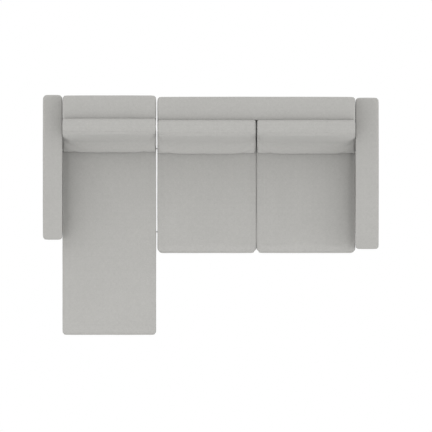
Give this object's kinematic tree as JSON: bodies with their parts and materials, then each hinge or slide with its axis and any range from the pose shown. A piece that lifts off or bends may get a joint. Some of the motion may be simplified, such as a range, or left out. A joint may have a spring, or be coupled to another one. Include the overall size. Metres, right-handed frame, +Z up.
{
  "type": "sectional sofa with chaise",
  "caption": "Modular sofa of a chaise with one arm hooked to a two-seat unit with the other arm, with loose seat and back cushions on a timber frame.",
  "frame": {"origin": "on the floor, under the middle of the whole footprint", "axes": "+Z up, the backs at +Y and the seats open towards -Y, +X from the chaise towards the two seats"},
  "size_m": [2.184, 1.56, 0.835],
  "materials": {
    "upholstery": "light warm-grey woven cover fabric",
    "padding": "polyurethane foam and polyester wadding under the covers",
    "foam": "cushion foam",
    "timber": "planed softwood and board, glued",
    "leg_wood": "stained beech",
    "webbing": "elastic webbing",
    "felt": "needled felt pad",
    "dust_cloth": "black spun-bonded cloth",
    "zinc_steel": "zinc-plated steel"
  },
  "bodies": {
    "two_seat_module": {"keyhole_plates": "zinc_steel", "right_arm_cover": "upholstery", "right_arm_frame": "timber", "right_arm_padding": "padding", "two_seat_back_cover": "upholstery", "two_seat_back_frame": "timber", "two_seat_back_padding": "padding", "two_seat_corner_blocks": "timber", "two_seat_cross_rails": "timber", "two_seat_deck_pad": "felt", "two_seat_dust_cloth": "dust_cloth", "two_seat_end_rails": "timber", "two_seat_frame_bolts": "zinc_steel", "two_seat_front_panel": "upholstery", "two_seat_left_panel": "upholstery", "two_seat_leg_arm_front": "leg_wood", "two_seat_leg_arm_rear": "leg_wood", "two_seat_leg_bolts": "zinc_steel", "two_seat_leg_free_front": "leg_wood", "two_seat_leg_free_rear": "leg_wood", "two_seat_leg_middle": "leg_wood", "two_seat_right_panel": "upholstery", "two_seat_side_rails": "timber", "two_seat_webbing": "webbing"},
    "chaise_module": {"chaise_back_cover": "upholstery", "chaise_back_frame": "timber", "chaise_back_padding": "padding", "chaise_corner_blocks": "timber", "chaise_cross_rails": "timber", "chaise_deck_pad": "felt", "chaise_dust_cloth": "dust_cloth", "chaise_end_rails": "timber", "chaise_frame_bolts": "zinc_steel", "chaise_front_panel": "upholstery", "chaise_left_panel": "upholstery", "chaise_leg_arm_front": "leg_wood", "chaise_leg_arm_rear": "leg_wood", "chaise_leg_bolts": "zinc_steel", "chaise_leg_foot_end": "leg_wood", "chaise_leg_free_front": "leg_wood", "chaise_leg_free_rear": "leg_wood", "chaise_right_panel": "upholstery", "chaise_side_rails": "timber", "chaise_webbing": "webbing", "hook_studs": "zinc_steel", "left_arm_cover": "upholstery", "left_arm_frame": "timber", "left_arm_padding": "padding"},
    "chaise_seat": {"chaise_seat_core": "foam", "chaise_seat_cover": "upholstery"},
    "chaise_back_cushion": {"chaise_back_cushion_core": "foam", "chaise_back_cushion_cover": "upholstery"},
    "left_seat": {"left_seat_core": "foam", "left_seat_cover": "upholstery"},
    "left_back_cushion": {"left_back_cushion_core": "foam", "left_back_cushion_cover": "upholstery"},
    "right_seat": {"right_seat_core": "foam", "right_seat_cover": "upholstery"},
    "right_back_cushion": {"right_back_cushion_core": "foam", "right_back_cushion_cover": "upholstery"}
  },
  "joints": [
    {"name": "chaise_unhook", "type": "slide", "parent": "two_seat_module", "child": "chaise_module", "axis": [0, 0, 1], "range_m": [0, 0.032]},
    {"name": "chaise_seat_lift", "type": "slide", "parent": "chaise_module", "child": "chaise_seat", "axis": [0, 0, 1], "range_m": [0, 0.45]},
    {"name": "chaise_back_cushion_lift", "type": "slide", "parent": "chaise_seat", "child": "chaise_back_cushion", "axis": [0, 0, 1], "range_m": [0, 0.3]},
    {"name": "left_seat_lift", "type": "slide", "parent": "two_seat_module", "child": "left_seat", "axis": [0, 0, 1], "range_m": [0, 0.45]},
    {"name": "left_back_cushion_lift", "type": "slide", "parent": "left_seat", "child": "left_back_cushion", "axis": [0, 0, 1], "range_m": [0, 0.3]},
    {"name": "right_seat_lift", "type": "slide", "parent": "two_seat_module", "child": "right_seat", "axis": [0, 0, 1], "range_m": [0, 0.45]},
    {"name": "right_back_cushion_lift", "type": "slide", "parent": "right_seat", "child": "right_back_cushion", "axis": [0, 0, 1], "range_m": [0, 0.3]}
  ]
}
